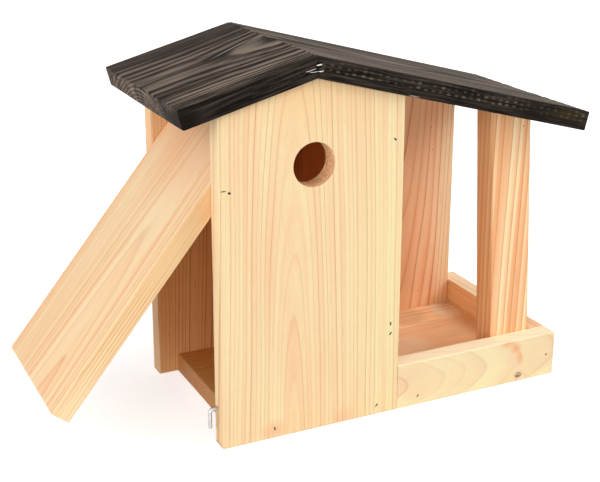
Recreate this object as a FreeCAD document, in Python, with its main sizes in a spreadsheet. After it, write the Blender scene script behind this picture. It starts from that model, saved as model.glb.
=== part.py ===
import FreeCAD, Part
import Sketcher
import os

# Nest box with a hinged side wall and a roofed feeding tray, nailed together from planed pine boards.
# Box coordinates: x runs from the nest's left edge, y back from the front face, z up from the base.
# The finished part has its origin in the middle of the base, so every piece is shifted by CENTRE.

# Driving sizes in millimetres and degrees: name, value, meaning.
SIZES = [
    ("board", 15.0, "thickness of every wall, floor, rail and door board"),
    ("roof_board", 15.0, "thickness of the roof boards"),
    ("inner_depth", 120.0, "clear depth between front and back walls"),
    ("nest_width", 142.0, "width of the front panel"),
    ("body_length", 287.0, "length from the nest's left edge to the tray's right end"),
    ("ridge_height", 263.0, "height of the roof's underside at the ridge"),
    ("roof_pitch", 15.0, "slope of both roof boards"),
    ("nest_eave", 25.6, "how far the short roof board reaches past the nest's left edge"),
    ("tray_eave", 11.0, "how far the long roof board reaches past the tray's right end"),
    ("front_overhang", 5.0, "how far the roof stands out over the front face"),
    ("arris", 0.6, "eased edge of the wall boards"),
    ("roof_arris", 1.0, "eased edge of the roof boards"),
    ("hole_diameter", 32.0, "entrance hole"),
    ("hole_height", 202.0, "height of the entrance hole's centre"),
    ("floor_front_width", 88.0, "width of the front floor board"),
    ("rail_height", 36.0, "height of the tray rails"),
    ("post_width", 36.0, "corner post, along the front"),
    ("post_depth", 20.0, "corner post, front to back"),
    ("post_lean", 10.0, "how far the post's top leans towards the nest"),
    ("pivot_height", 190.0, "height of the door's pivot nails"),
    ("door_head", 50.0, "door length above the pivot"),
    ("door_foot_gap", 0.5, "gap between the shut door and the ground"),
    ("door_side_gap", 0.75, "gap between the door's long edges and the walls"),
    ("door_stop_gap", 0.3, "gap between the shut door and the floor's end"),
    ("door_angle", 39.0, "how far the door stands open"),
    ("pivot_nail", 2.4, "diameter of the pivot nails"),
    ("pivot_nail_head", 3.2, "diameter of the pivot nails' heads"),
    ("pivot_nail_length", 40.0, "length of the pivot nails"),
    ("running_gap", 0.05, "radial clearance of a turning nail or hook"),
    ("bore_end_gap", 1.0, "free depth past the end of a turning nail or hook"),
    ("nail", 1.8, "diameter of the fixing nails"),
    ("nail_length", 35.0, "length of the fixing nails"),
    ("nail_proud", 0.3, "how far a nail stands out of the wood, except at the flat back"),
    ("wall_nail_high", 213.0, "height of the upper nail into the divider"),
    ("wall_nail_low", 64.0, "height of the lower nails into the divider"),
    ("wall_nail_pair", 8.0, "distance between the two lower nails"),
    ("floor_nail_inset", 40.0, "floor nails away from the divider, from the end of their wall"),
    ("floor_nail_end", 18.0, "floor nails beside the divider, from its face or the wall's edge"),
    ("rail_nail_drop", 18.0, "nail into the side rail's end, below the rail's top"),
    ("rail_nail_high", 26.0, "height of the side rail's nails into post and back wall"),
    ("roof_nail_inset", 22.0, "roof nails, from the ridge and from a wall's end"),
    ("screw_hole", 5.0, "diameter of the two wall screw holes"),
    ("screw_height", 200.0, "height of the wall screw holes"),
    ("hook_wire", 3.0, "wire of the latch hook"),
    ("hook_height", 28.5, "height of the hook's shank"),
    ("hook_inset", 10.0, "hook's shank behind the front face"),
    ("hook_depth", 16.0, "hook's shank inside the wood"),
    ("hook_reach", 6.0, "from the wood to the middle of the hook's leg"),
    ("hook_leg", 15.0, "from the shank to the end of the leg"),
    ("hook_bend", 3.0, "radius of the hook's bend"),
]

# Sizes that follow from the driving ones, as expressions.
DEPTH = "(sizes.inner_depth + 2 * sizes.board)"
CENTRE = ("-sizes.body_length / 2", "-sizes.inner_depth / 2 - sizes.board", "0")
RIDGE = "(sizes.nest_width / 2)"
BACK_END = "(sizes.body_length - sizes.board)"
DIVIDER = "(sizes.nest_width - sizes.board)"
FLOOR_START = "(sizes.board + sizes.door_stop_gap)"
PITCH = "(sizes.roof_pitch * 1 deg)"
MID_BOARD = "sizes.board / 2"
NEST_BACK_MID = "sizes.nest_width / 2"
FEEDER_BACK_MID = f"(sizes.nest_width + {BACK_END}) / 2"

X_AXIS = FreeCAD.Vector(1, 0, 0)
Y_AXIS = FreeCAD.Vector(0, 1, 0)
Z_AXIS = FreeCAD.Vector(0, 0, 1)

doc = FreeCAD.newDocument("nest_box_feeder")
sheet = doc.addObject("Spreadsheet::Sheet", "sizes")
for row, (alias, value, meaning) in enumerate(SIZES, start=1):
    sheet.set(f"A{row}", alias)
    sheet.set(f"B{row}", str(value))
    sheet.set(f"C{row}", meaning)
    sheet.setAlias(f"B{row}", alias)
doc.recompute()

nodes = []


def value(expression):
    """Number that an expression on the sheet gives now."""
    return float(sheet.evalExpression(expression))


def under_roof(x):
    """Height of the roof's underside over box coordinate x."""
    return f"(sizes.ridge_height - abs({x} - {RIDGE}) * tan({PITCH}))"


def place(piece, x, y, z, axis=None, angle="0"):
    """Bind a piece's place, in box coordinates, and its turn about one axis."""
    if axis is not None:
        piece.Placement = FreeCAD.Placement(FreeCAD.Vector(), FreeCAD.Rotation(axis, 1))
        piece.setExpression("Placement.Rotation.Angle", f"({angle}) * 1 deg")
    for name, offset, shift in zip("xyz", (x, y, z), CENTRE):
        piece.setExpression(f"Placement.Base.{name}", f"{offset} + ({shift})")


def new_body(label):
    """Empty body that becomes a node of the part."""
    body = doc.addObject("PartDesign::Body", label)
    body.Label = label
    nodes.append(body)
    return body


def new_sketch(body, name, role, offset=None):
    """Empty sketch on one of the body's own planes, moved along the plane's normal."""
    plane = next(feature for feature in body.Origin.OriginFeatures if feature.Role == role)
    sketch = body.newObject("Sketcher::SketchObject", name)
    sketch.AttachmentSupport = (plane, [""])
    sketch.MapMode = "FlatFace"
    if offset is not None:
        sketch.setExpression("AttachmentOffset.Base.z", offset)
    return sketch


def pin_point(sketch, geometry, end, x, y):
    """Fix one point of a sketch at expressions x and y."""
    for kind, expression in (("DistanceX", x), ("DistanceY", y)):
        index = sketch.addConstraint(Sketcher.Constraint(kind, -1, 1, geometry, end, value(expression)))
        sketch.setExpression(f"Constraints[{index}]", expression)


def outline(body, name, role, corners):
    """Closed straight-sided sketch through corners given as pairs of expressions."""
    sketch = new_sketch(body, name, role)
    points = [FreeCAD.Vector(value(x), value(y), 0) for x, y in corners]
    count = len(points)
    for index in range(count):
        sketch.addGeometry(Part.LineSegment(points[index], points[(index + 1) % count]))
    for index, (x, y) in enumerate(corners):
        sketch.addConstraint(Sketcher.Constraint("Coincident", index, 2, (index + 1) % count, 1))
        pin_point(sketch, index, 1, x, y)
    return sketch


def round_sketch(body, name, role, x, y, radius, offset=None):
    """Sketch of one circle."""
    sketch = new_sketch(body, name, role, offset)
    centre = FreeCAD.Vector(value(x), value(y), 0)
    sketch.addGeometry(Part.Circle(centre, Z_AXIS, value(radius)))
    pin_point(sketch, 0, 3, x, y)
    index = sketch.addConstraint(Sketcher.Constraint("Radius", 0, value(radius)))
    sketch.setExpression(f"Constraints[{index}]", radius)
    return sketch


def board(label, corners, thickness, y, arris="sizes.arris"):
    """Board with an upright outline, front face at y, thickness to the back and eased edges."""
    body = new_body(label)
    pad = body.newObject("PartDesign::Pad", f"{label}_pad")
    pad.Profile = outline(body, f"{label}_outline", "XZ_Plane", corners)
    pad.Reversed = True
    pad.setExpression("Length", thickness)
    doc.recompute()
    ease_edges(body, pad, arris)
    place(body, "0", y, "0")
    return body


def ease_edges(body, base, arris):
    """Small flat along every edge of what the body holds so far."""
    chamfer = body.newObject("PartDesign::Chamfer", f"{body.Label}_arris")
    chamfer.Base = (base, [""])
    chamfer.UseAllEdges = True
    chamfer.setExpression("Size", arris)
    doc.recompute()


def cut(body, name, sketch, depth=None, reverse=False):
    """Pocket of a sketch, right through or to a depth, which has to take wood away."""
    before = body.Shape.Volume
    pocket = body.newObject("PartDesign::Pocket", name)
    pocket.Profile = sketch
    pocket.Reversed = reverse
    if depth is None:
        pocket.Type = "ThroughAll"
    else:
        pocket.setExpression("Length", depth)
    doc.recompute()
    if body.Shape.Volume >= before:
        raise RuntimeError(f"{name} takes nothing away")
    return pocket


def box_outline(x0, x1, z0, z1):
    """Corners of an upright rectangle."""
    return [(x0, z0), (x1, z0), (x1, z1), (x0, z1)]


def under_roof_outline(x0, x1, z0):
    """Corners of a wall from z0 up to the roof between two places on one slope."""
    return [(x0, z0), (x1, z0), (x1, under_roof(x1)), (x0, under_roof(x0))]


def gable_outline():
    """Corners of a nest wall that peaks under the ridge."""
    width = "sizes.nest_width"
    peak = (RIDGE, "sizes.ridge_height")
    return [("0", "0"), (width, "0"), (width, under_roof(width)), peak, ("0", under_roof("0"))]


def front_panel():
    """Gable wall with the entrance hole and the blind hole for the latch hook."""
    body = board("front_panel", gable_outline(), "sizes.board", "0")
    hole_radius = "sizes.hole_diameter / 2"
    entrance = round_sketch(body, "entrance", "XZ_Plane", RIDGE, "sizes.hole_height", hole_radius)
    cut(body, "entrance_hole", entrance)
    hook_radius = "sizes.hook_wire / 2 + sizes.running_gap"
    shank = round_sketch(body, "shank", "YZ_Plane", "sizes.hook_inset", "sizes.hook_height", hook_radius)
    cut(body, "shank_hole", shank, "sizes.hook_depth + sizes.bore_end_gap", reverse=True)


def back_boards():
    """The two back walls, each with a screw hole in the middle for hanging the box."""
    back = f"{DEPTH} - sizes.board"
    nest = board("nest_back_board", gable_outline(), "sizes.board", back)
    feeder_corners = under_roof_outline("sizes.nest_width", BACK_END, "0")
    feeder = board("feeder_back_board", feeder_corners, "sizes.board", back)
    for body, middle in ((nest, NEST_BACK_MID), (feeder, FEEDER_BACK_MID)):
        screw = round_sketch(body, "screw", "XZ_Plane", middle, "sizes.screw_height", "sizes.screw_hole / 2")
        cut(body, "screw_hole", screw)


def inner_boards():
    """Floor in two strips, and the divider that stands on it between nest and tray."""
    strip = box_outline(FLOOR_START, BACK_END, "0", "sizes.board")
    rear_width = "sizes.inner_depth - sizes.floor_front_width"
    board("floor_board_front", strip, "sizes.floor_front_width", "sizes.board")
    board("floor_board_rear", strip, rear_width, "sizes.board + sizes.floor_front_width")
    divider = under_roof_outline(DIVIDER, "sizes.nest_width", "sizes.board")
    board("partition_wall", divider, "sizes.inner_depth", "sizes.board")


def tray():
    """Rails round the tray and the post that carries the long roof board."""
    front = box_outline("sizes.nest_width", "sizes.body_length", "0", "sizes.rail_height")
    board("tray_front_rail", front, "sizes.board", "0")
    side = box_outline(BACK_END, "sizes.body_length", "0", "sizes.rail_height")
    board("tray_side_rail", side, "sizes.inner_depth + sizes.board", "sizes.board")
    left = f"({BACK_END} - sizes.post_width)"
    top_left = f"({left} - sizes.post_lean)"
    top_right = f"({BACK_END} - sizes.post_lean)"
    upright = [
        (left, "sizes.board"),
        (BACK_END, "sizes.board"),
        (top_right, under_roof(top_right)),
        (top_left, under_roof(top_left)),
    ]
    board("corner_post", upright, "sizes.post_depth", "sizes.board")


def roof():
    """Two sloping boards that meet in an upright mitre over the ridge, with square-cut eaves."""
    rise = f"sizes.roof_board * cos({PITCH})"
    run = f"sizes.roof_board * sin({PITCH})"
    ridge_top = f"sizes.ridge_height + sizes.roof_board / cos({PITCH})"
    depth = f"sizes.front_overhang + {DEPTH}"
    short_eave = "(-sizes.nest_eave)"
    long_eave = "(sizes.body_length + sizes.tray_eave)"
    for label, eave, side in (("short_roof_board", short_eave, "-"), ("long_roof_board", long_eave, "+")):
        corners = [
            (RIDGE, "sizes.ridge_height"),
            (eave, under_roof(eave)),
            (f"{eave} {side} {run}", f"{under_roof(eave)} + {rise}"),
            (RIDGE, ridge_top),
        ]
        board(label, corners, depth, "-sizes.front_overhang", "sizes.roof_arris")


def side_door():
    """Left wall of the nest, hung on its pivot nails, with a bore for each nail."""
    body = new_body("side_door")
    foot = "-(sizes.pivot_height - sizes.door_foot_gap)"
    width = "sizes.inner_depth - 2 * sizes.door_side_gap"
    pad = body.newObject("PartDesign::Pad", "side_door_pad")
    corners = box_outline(f"-{MID_BOARD}", MID_BOARD, foot, "sizes.door_head")
    pad.Profile = outline(body, "side_door_outline", "XZ_Plane", corners)
    pad.Midplane = True
    pad.setExpression("Length", width)
    doc.recompute()
    ease_edges(body, pad, "sizes.arris")
    radius = "sizes.pivot_nail / 2 + sizes.running_gap"
    in_wood = "sizes.pivot_nail_length - sizes.board - sizes.door_side_gap"
    pivot = round_sketch(body, "pivot", "XZ_Plane", "0", "0", radius, f"({width}) / 2")
    bore = cut(body, "pivot_bore", pivot, f"{in_wood} + sizes.bore_end_gap")
    mirror = body.newObject("PartDesign::Mirrored", "pivot_bores")
    mirror.Originals = [bore]
    mirror.MirrorPlane = (next(f for f in body.Origin.OriginFeatures if f.Role == "XZ_Plane"), [""])
    body.Tip = mirror
    place(body, MID_BOARD, f"{DEPTH} / 2", "sizes.pivot_height", Y_AXIS, "sizes.door_angle")


def pivot_nail(label, y, angle):
    """Round nail with a small tapered head and a point, driven from a face at y."""
    body = new_body(label)
    head = "sizes.pivot_nail_head / 2"
    shank = "sizes.pivot_nail / 2"
    corners = [
        ("0", "0"),
        (head, "0"),
        (head, "sizes.pivot_nail_head / 4"),
        (shank, "sizes.pivot_nail_head * 3 / 4"),
        (shank, "sizes.pivot_nail_length - sizes.pivot_nail"),
        ("0", "sizes.pivot_nail_length"),
    ]
    turned = body.newObject("PartDesign::Revolution", f"{label}_turned")
    turned.Profile = outline(body, f"{label}_profile", "XY_Plane", corners)
    turned.ReferenceAxis = (turned.Profile[0], ["V_Axis"])
    turned.Angle = 360
    doc.recompute()
    place(body, MID_BOARD, y, "sizes.pivot_height", Z_AXIS, angle)


def nail_group(label, axis, angle, points):
    """Fixing nails driven the same way from points on a face, as one node of separate solids."""
    nails = []
    for number, (x, y, z) in enumerate(points, start=1):
        nail = doc.addObject("Part::Cylinder", f"{label}_{number}")
        nail.setExpression("Radius", "sizes.nail / 2")
        nail.setExpression("Height", "sizes.nail_length")
        place(nail, x, y, z, axis, angle)
        nails.append(nail)
    group = doc.addObject("Part::Compound", label)
    group.Label = label
    group.Links = nails
    nodes.append(group)


def wall_nails():
    """Nails from the two nest walls into divider and floor, and from the tray's back into the floor."""
    divider_mid = f"sizes.nest_width - {MID_BOARD}"
    lower = "sizes.wall_nail_low"
    nest_points = [
        (divider_mid, "sizes.wall_nail_high"),
        (divider_mid, f"{lower} + sizes.wall_nail_pair"),
        (divider_mid, lower),
        ("sizes.floor_nail_inset", MID_BOARD),
        ("sizes.nest_width - sizes.floor_nail_end", MID_BOARD),
    ]
    tray_points = [
        ("sizes.nest_width + sizes.floor_nail_end", MID_BOARD),
        (f"{BACK_END} - sizes.floor_nail_inset", MID_BOARD),
    ]
    front = "-sizes.nail_proud"
    nail_group("front_panel_nails", X_AXIS, "-90", [(x, front, z) for x, z in nest_points])
    nail_group("nest_back_nails", X_AXIS, "90", [(x, DEPTH, z) for x, z in nest_points])
    nail_group("feeder_back_nails", X_AXIS, "90", [(x, DEPTH, z) for x, z in tray_points])


def rail_nails():
    """Nails from the front rail into floor and side rail, and from the side rail into its neighbours."""
    front = "-sizes.nail_proud"
    right = "sizes.body_length + sizes.nail_proud"
    front_points = [
        ("sizes.nest_width + sizes.floor_nail_end", front, MID_BOARD),
        (f"sizes.body_length - {MID_BOARD}", front, "sizes.rail_height - sizes.rail_nail_drop"),
    ]
    side_points = [
        (right, "sizes.board + sizes.floor_nail_inset", MID_BOARD),
        (right, f"{DEPTH} - sizes.board - sizes.floor_nail_end", MID_BOARD),
        (right, "sizes.board + sizes.post_depth / 2", "sizes.rail_nail_high"),
        (right, f"{DEPTH} - {MID_BOARD}", "sizes.rail_nail_high"),
    ]
    nail_group("front_rail_nails", X_AXIS, "-90", front_points)
    nail_group("side_rail_nails", Y_AXIS, "-90", side_points)


def roof_nails():
    """Nails square through each roof board into the walls, the divider and the post below it."""
    head = "(sizes.roof_board + sizes.nail_proud)"
    half_drift = f"(sizes.nail_length - sizes.roof_board) / 2 * sin({PITCH})"
    wall_ys = (MID_BOARD, f"{DEPTH} - {MID_BOARD}")
    inset = "sizes.roof_nail_inset"
    short_xs = (f"{RIDGE} - {inset}", inset)
    short = [(x, y) for y in wall_ys for x in short_xs]
    long = [(f"{RIDGE} + {inset}", y) for y in wall_ys]
    long += [(f"sizes.nest_width - {MID_BOARD} + {half_drift}", f"{DEPTH} / 2")]
    long += [(x, wall_ys[1]) for x in (f"sizes.nest_width + {inset}", f"{BACK_END} - {inset}")]
    long += [(f"{BACK_END} - sizes.post_lean - sizes.post_width / 2", "sizes.board + sizes.post_depth / 2")]
    for label, points, side, angle in (
        ("short_roof_nails", short, "-", "180 - sizes.roof_pitch"),
        ("long_roof_nails", long, "+", "180 + sizes.roof_pitch"),
    ):
        starts = [
            (f"{x} {side} {head} * sin({PITCH})", y, f"{under_roof(f'({x})')} + {head} * cos({PITCH})")
            for x, y in points
        ]
        nail_group(label, Y_AXIS, angle, starts)


def latch_hook():
    """Wire hook: a shank in the front panel's left edge, a round bend and a leg that hangs down."""
    body = new_body("latch_hook")
    bend_x = "-(sizes.hook_reach - sizes.hook_bend)"
    reach = "-sizes.hook_reach"
    path = new_sketch(body, "hook_path", "XZ_Plane")
    start = FreeCAD.Vector(value("sizes.hook_depth"), 0, 0)
    turn = FreeCAD.Vector(value(bend_x), 0, 0)
    centre = FreeCAD.Vector(value(bend_x), -value("sizes.hook_bend"), 0)
    drop = FreeCAD.Vector(value(reach), -value("sizes.hook_bend"), 0)
    end = FreeCAD.Vector(value(reach), -value("sizes.hook_leg"), 0)
    quarter = Part.Circle(centre, Z_AXIS, value("sizes.hook_bend"))
    path.addGeometry(Part.LineSegment(start, turn))
    path.addGeometry(Part.ArcOfCircle(quarter, quarter.parameter(turn), quarter.parameter(drop)))
    path.addGeometry(Part.LineSegment(drop, end))
    path.addConstraint(Sketcher.Constraint("Coincident", 0, 2, 1, 1))
    path.addConstraint(Sketcher.Constraint("Coincident", 1, 2, 2, 1))
    pin_point(path, 0, 1, "sizes.hook_depth", "0")
    pin_point(path, 1, 3, bend_x, "-sizes.hook_bend")
    pin_point(path, 1, 1, bend_x, "0")
    pin_point(path, 2, 2, reach, "-sizes.hook_leg")
    level = path.addConstraint(Sketcher.Constraint("DistanceY", -1, 1, 1, 2, drop.y))
    path.setExpression(f"Constraints[{level}]", "-sizes.hook_bend")
    radius = "sizes.hook_wire / 2"
    wire = round_sketch(body, "hook_section", "YZ_Plane", "0", "0", radius, "sizes.hook_depth")
    pipe = body.newObject("PartDesign::AdditivePipe", "hook_pipe")
    pipe.Profile = wire
    pipe.Spine = (path, [])
    doc.recompute()
    place(body, "0", "sizes.hook_inset", "sizes.hook_height")


def check_and_write():
    """Stop on any failed object, then write each node's shape."""
    doc.recompute()
    for item in doc.Objects:
        if "Invalid" in item.State or "Error" in item.State:
            raise RuntimeError(f"{item.Label} failed: {item.State}")
    os.makedirs("parts", exist_ok=True)
    for node in nodes:
        shape = node.Shape
        if shape.isNull() or not shape.isValid():
            raise RuntimeError(f"{node.Label} has no valid shape")
        shape.exportStep(f"parts/{node.Label}.step")
        print(f"{node.Label}: {len(shape.Solids)} solids, {shape.Volume:.1f} mm3, {shape.BoundBox}")


front_panel()
back_boards()
inner_boards()
tray()
roof()
side_door()
pivot_nail("door_pivot_nail_front", "-sizes.nail_proud", "0")
pivot_nail("door_pivot_nail_rear", DEPTH, "180")
wall_nails()
rail_nails()
roof_nails()
latch_hook()
check_and_write()
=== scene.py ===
import math

import bpy
import numpy as np
from mathutils import Matrix, Vector


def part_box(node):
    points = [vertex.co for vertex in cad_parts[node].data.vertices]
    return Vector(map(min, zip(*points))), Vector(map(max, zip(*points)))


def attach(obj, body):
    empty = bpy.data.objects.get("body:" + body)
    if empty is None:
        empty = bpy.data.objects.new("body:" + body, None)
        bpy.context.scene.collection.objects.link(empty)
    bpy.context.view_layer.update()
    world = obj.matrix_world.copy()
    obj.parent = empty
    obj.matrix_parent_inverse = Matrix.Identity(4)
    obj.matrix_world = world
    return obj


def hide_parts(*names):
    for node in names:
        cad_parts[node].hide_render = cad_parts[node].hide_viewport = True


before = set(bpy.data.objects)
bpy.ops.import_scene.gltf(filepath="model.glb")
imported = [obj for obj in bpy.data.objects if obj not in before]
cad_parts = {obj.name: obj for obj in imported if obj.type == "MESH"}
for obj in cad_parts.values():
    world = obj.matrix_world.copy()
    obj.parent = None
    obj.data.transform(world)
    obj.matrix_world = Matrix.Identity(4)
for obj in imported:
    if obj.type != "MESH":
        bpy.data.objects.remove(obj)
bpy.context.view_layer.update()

# Sizes in millimetres, in the CAD frame: x to the right, y to the back, z up
MM = 0.001
BOARD = 15.0
ARRIS, ROOF_ARRIS = 0.8, 1.2
FRONT, BACK = -75.0, 75.0
INNER_BACK, WALL_MIDDLE = BACK - BOARD, BACK - BOARD / 2
NEST_LEFT, NEST_RIGHT, DIVIDER_X = -143.5, -1.5, -9.0
TRAY_END, RAIL_END, RAIL_TOP = 128.5, 143.5, 36.0
TRAY_MIDDLE, RAIL_MIDDLE = (NEST_RIGHT + TRAY_END) / 2, TRAY_END + BOARD / 2
FLOOR_END, FLOOR_MIDDLE = -128.2, BOARD / 2
POST_LEFT, POST_LEAN, POST_TILT, POST_FRONT, POST_BACK = 92.5, 10.0, -0.0424, -60.0, -40.0
PITCH = math.radians(15.0)
RIDGE_X, RIDGE_Z = -72.5, 263.0
LEFT_EAVE, RIGHT_EAVE, ROOF_FRONT = -169.1, 154.5, -80.0
HINGE_X, HINGE_Z, DOOR_OPEN = -136.0, 190.0, math.radians(39.0)
DOOR_BELOW, DOOR_ABOVE, DOOR_HALF = 189.5, 50.0, 59.25
HOOK_Y, HOOK_Z, HOOK_FOOT_Z = -65.0, 28.5, 13.5
HOOK_TIP_X, HOOK_ELBOW_X = -127.5, -146.5
HOOK_WIRE, HOOK_BEND, HOOK_THREAD = 3.0, 3.0, 1.2
ENTRANCE_Z, ENTRANCE_RADIUS = 202.0, 16.0
SCREW_Z, SCREW_RADIUS = 200.0, 2.5
NAIL_LENGTH, PIVOT_LENGTH = 35.0, 40.0

EAST, NORTH, UP = (1.0, 0.0, 0.0), (0.0, 1.0, 0.0), (0.0, 0.0, 1.0)
WEST, SOUTH = (-1.0, 0.0, 0.0), (0.0, -1.0, 0.0)

# Noise above the first value starts a nick in an arris, and at the second the nick is full
NICK = 0.86, 0.98

# Settings that many shader nodes share
SMOOTH = {"interpolation_type": "SMOOTHSTEP"}
COLOUR = {"data_type": "RGBA"}
CENTRED = {"vector_type": "TEXTURE"}

# Marks on the skins that the materials read
PINE_MARKS = "end_grain", "bore"
ROOF_MARKS = "end_grain", "years", "rubbed", "edge"


def node_box(node):
    """Lowest and highest corner of a CAD node, in millimetres."""
    return [np.array(corner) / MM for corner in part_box(node)]


def under_roof(x):
    """Height of the roof's underside: it falls by the tangent of the pitch on each side of the ridge."""
    return RIDGE_Z - math.tan(PITCH) * abs(x - RIDGE_X)


def on_roof(x, side):
    """Place on a roof board's top face, square to the slope above x on the underside; side is -1 left of the ridge."""
    return x + side * BOARD * math.sin(PITCH), under_roof(x) + BOARD * math.cos(PITCH)


def wander(points, seed):
    """Smooth noise from 0 to 1: random values on a unit lattice, blended between its corners by 3t^2 - 2t^3."""
    span = 32
    table = np.random.default_rng(seed).random((span, span, span))
    cell = np.floor(points).astype(int)
    t = points - cell
    t = t * t * (3 - 2 * t)
    value = 0.0
    for corner in np.ndindex(2, 2, 2):
        weight = np.prod(np.where(corner, t, 1 - t), axis=-1)
        x, y, z = np.moveaxis((cell + corner) % span, -1, 0)
        value = value + weight * table[x, y, z]
    return value


def ramp(value, low, high):
    """Smooth step from 0 at low to 1 at high."""
    t = np.clip((value - low) / (high - low), 0, 1)
    return t * t * (3 - 2 * t)


def stitch(grids, closed_u=False, closed_v=False):
    """Joins grids of points into one skin of triangles. Neighbouring points make a quad that is cut in two, and points
    that coincide become one. Numbers after x, y and z in a grid are marks, averaged where points join."""
    quads, start = [], 0
    for grid in grids:
        rows, columns = grid.shape[:2]
        index = start + np.arange(rows * columns).reshape(rows, columns)
        start += rows * columns
        index = np.concatenate([index, index[:1]]) if closed_u else index
        index = np.concatenate([index, index[:, :1]], axis=1) if closed_v else index
        corners = [index[:-1, :-1], index[1:, :-1], index[1:, 1:], index[:-1, 1:]]
        quads.append(np.stack(corners, -1).reshape(-1, 4))
    loose = np.concatenate([grid.reshape(-1, grid.shape[-1]) for grid in grids])
    _, first, joined = np.unique(np.round(loose[:, :3], 4), axis=0, return_index=True, return_inverse=True)
    joined = joined.ravel()
    count = np.bincount(joined)
    marks = [np.bincount(joined, mark) / count for mark in loose[:, 3:].T]
    quads = joined[np.concatenate(quads)]
    triangles = np.concatenate([quads[:, [0, 1, 2]], quads[:, [0, 2, 3]]])
    a, b, c = triangles.T
    return loose[first, :3], triangles[(a != b) & (b != c) & (c != a)], marks


def put(name, data):
    """Adds an object to the scene, with a mesh, camera or lamp as its data."""
    made = bpy.data.objects.new(name, data)
    bpy.context.scene.collection.objects.link(made)
    return made


def add_piece(name, skin, material, body, nodes, marks=()):
    """Makes a mesh object of a stitched skin, with its marks as named attributes. The piece rides on its body and
    stands for its CAD nodes."""
    points, triangles, values = skin
    mesh = bpy.data.meshes.new(name)
    mesh.vertices.add(len(points))
    mesh.vertices.foreach_set("co", (points * MM).astype(np.float32).ravel())
    mesh.loops.add(triangles.size)
    mesh.loops.foreach_set("vertex_index", triangles.astype(np.int32).ravel())
    mesh.polygons.add(len(triangles))
    mesh.polygons.foreach_set("loop_start", np.arange(0, triangles.size, 3, dtype=np.int32))
    mesh.polygons.foreach_set("use_smooth", np.ones(len(triangles), bool))
    mesh.update(calc_edges=True)
    for mark, value in zip(marks, values):
        mesh.attributes.new(mark, "FLOAT", "POINT").data.foreach_set("value", value.astype(np.float32))
    mesh.materials.append(material)
    piece = put(name, mesh)
    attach(piece, body)
    if nodes:
        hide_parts(*nodes)


def stations(length, arris, step):
    """Places along one side of a board: close together over each rounded arris, evenly spaced between."""
    edge = arris * np.array([0, 0.2, 0.4, 0.6, 0.8, 1.0, 1.4, 2.0])
    count = max(2, int(round((length - 2 * edge[-1]) / step)) + 1)
    middle = np.linspace(edge[-1], length - edge[-1], count)
    return np.concatenate([edge[:-1], middle, (length - edge[:-1])[::-1]])


def board_skin(corners, low_y, high_y, arris, steps, grain_axis, seed, relief=None):
    """Skin of a board whose side view is a quadrilateral, as six grids. In a box of the board's sizes, a point q of the
    sharp box is held inside the box less the arris radius r, giving c, and the skin is c + r (q - c) / |q - c|. The
    radius wanders along the edges, over about 21 mm, and grows at a few nicks about 9 mm long. Relief then lowers the
    skin, and the box's side view is mapped to the quadrilateral by mixing its four corners. The mark end_grain is 1 on
    the two sawn ends, and relief may add more marks."""
    corners = np.array(corners, float)
    size = np.array([
        np.linalg.norm(corners[1] - corners[0]),
        high_y - low_y,
        np.linalg.norm(corners[3] - corners[0]),
    ])
    lines = [stations(length, arris, step) for length, step in zip(size, steps)]
    grids = []
    for axis in range(3):
        a, b = (k for k in range(3) if k != axis)
        for end in (0.0, size[axis]):
            grid = np.zeros((len(lines[a]), len(lines[b]), 3))
            grid[..., a] = lines[a][:, None]
            grid[..., b] = lines[b][None, :]
            grid[..., axis] = end
            inward = (end == 0.0) != (axis == 1)
            q = grid[::-1] if inward else grid
            nick = ramp(wander(q / 9.0 + 7.3, seed + 1), *NICK)
            r = (arris * (0.7 + 0.5 * wander(q / 21.0, seed) + 0.8 * nick))[..., None]
            c = np.clip(q, r, size - r)
            away = (q - c) / np.maximum(np.linalg.norm(q - c, axis=-1, keepdims=True), 1e-9)
            skin = c + r * away
            marks = [np.full(q.shape[:2], float(axis == grain_axis))]
            if relief:
                height, extra = relief(skin, size)
                skin = skin - away * height[..., None]
                marks += extra
            s, t = skin[..., 0] / size[0], skin[..., 2] / size[2]
            weights = np.stack([(1 - s) * (1 - t), s * (1 - t), s * t, (1 - s) * t], -1)
            x, z = np.moveaxis(weights @ corners, -1, 0)
            grids.append(np.stack([x, low_y + skin[..., 1], z, *marks], -1))
    return stitch(grids)


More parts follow.
